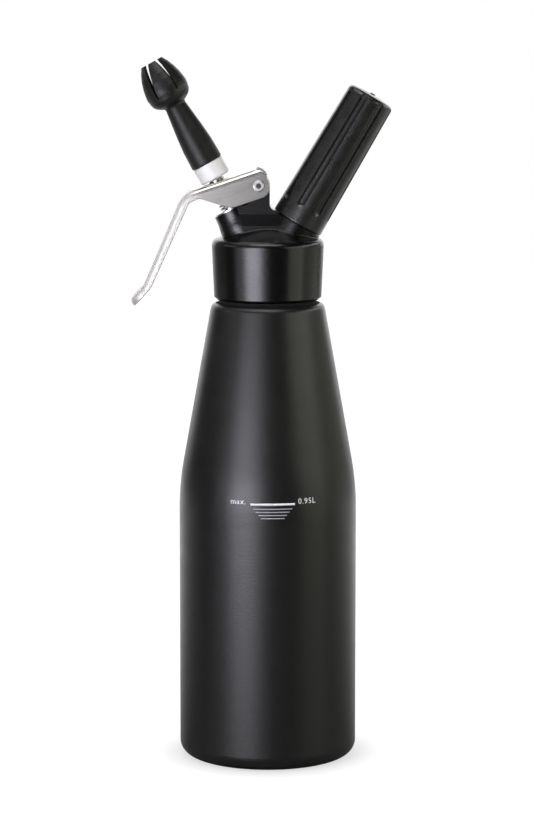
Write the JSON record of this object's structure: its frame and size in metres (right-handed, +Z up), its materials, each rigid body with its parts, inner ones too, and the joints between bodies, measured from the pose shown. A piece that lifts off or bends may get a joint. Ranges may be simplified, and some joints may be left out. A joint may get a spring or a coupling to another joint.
{
  "type": "whipped cream dispenser",
  "caption": "Gas-charged whipped cream dispenser: slim bottle, screw-on head, squeeze lever over a spray valve, tulip nozzle and fluted charger holder.",
  "frame": {"origin": "centre of the bottle's flat base, on the plane it stands on", "axes": "+Z up along the bottle's axis, -X towards the nozzle and lever, +X towards the charger holder"},
  "size_m": [0.1393, 0.096, 0.3794],
  "materials": {
    "bottle_coating": "matte black powder coat over a drawn steel or aluminium bottle",
    "head_lacquer": "semi-gloss black lacquer over cast aluminium",
    "satin_steel": "satin stainless sheet with polished bends",
    "polished_steel": "polished stainless steel, turned",
    "turned_steel": "turned stainless steel",
    "spring_wire": "drawn stainless spring wire",
    "moulded_black": "satin black moulded plastic",
    "seal_rubber": "smooth food-grade rubber",
    "check_silicone": "translucent silicone",
    "plated_steel": "zinc-plated drawn steel",
    "sleeve_aluminium": "turned aluminium"
  },
  "bodies": {
    "bottle": {"bottle": "bottle_coating"},
    "gasket": {"head_gasket": "seal_rubber"},
    "head": {"head": "head_lacquer", "valve_bush": "turned_steel", "stem_o_ring": "seal_rubber", "valve_spring": "spring_wire", "pivot_pin": "turned_steel", "pivot_screw": "turned_steel", "needle_carrier": "turned_steel", "carrier_o_ring": "seal_rubber", "piercing_needle": "turned_steel", "charger_washer": "seal_rubber", "check_valve": "check_silicone"},
    "lever": {"lever": "satin_steel"},
    "valve": {"valve_stem": "turned_steel", "stem_seal": "seal_rubber", "seal_nut": "turned_steel", "spring_cap": "turned_steel", "nozzle_adaptor": "polished_steel"},
    "nozzle_seal": {"nozzle_washer": "seal_rubber"},
    "nozzle": {"tulip_nozzle": "moulded_black"},
    "charger": {"gas_charger": "plated_steel"},
    "holder": {"holder_grip": "moulded_black", "holder_sleeve": "sleeve_aluminium"}
  },
  "joints": [
    {"name": "head_lift", "type": "slide", "parent": "bottle", "child": "gasket", "axis": [0, 0, 1], "range_m": [0, 0.01001]},
    {"name": "head_turn", "type": "hinge", "parent": "gasket", "child": "head", "pos_m": [0, 0, 0.2735], "axis": [0, 0, 1], "range_deg": [0, 900]},
    {"name": "lever_pivot", "type": "hinge", "parent": "head", "child": "lever", "pos_m": [-0.00485, 0, 0.3115], "axis": [0, -1, 0], "range_deg": [0, 10.5], "stiffness_Nm_per_rad": 2, "springref_deg": -6.88},
    {"name": "valve_travel", "type": "slide", "parent": "head", "child": "valve", "axis": [0.4848, 0, -0.8746], "range_m": [0, 0.00238], "deforming": ["valve_spring"]},
    {"name": "nozzle_lift", "type": "slide", "parent": "valve", "child": "nozzle_seal", "axis": [-0.4848, 0, 0.8746], "range_m": [0, 0.00801]},
    {"name": "nozzle_turn", "type": "hinge", "parent": "nozzle_seal", "child": "nozzle", "pos_m": [-0.03243, 0, 0.32291], "axis": [-0.4848, 0, 0.8746], "range_deg": [0, 1440]},
    {"name": "charger_lift", "type": "slide", "parent": "head", "child": "charger", "axis": [0.5075, 0, 0.8616], "range_m": [0, 0.01201]},
    {"name": "holder_turn", "type": "hinge", "parent": "charger", "child": "holder", "pos_m": [0.01578, 0, 0.2912], "axis": [0.5075, 0, 0.8616], "range_deg": [0, 1440]}
  ],
  "couplings": [
    {"joint": "head_lift", "follows": "head_turn", "m_per_rad": 0.00063662},
    {"joint": "valve_travel", "follows": "lever_pivot", "m_per_rad": 0.01293},
    {"joint": "nozzle_lift", "follows": "nozzle_turn", "m_per_rad": 0.00031831},
    {"joint": "charger_lift", "follows": "holder_turn", "m_per_rad": 0.00047746}
  ]
}
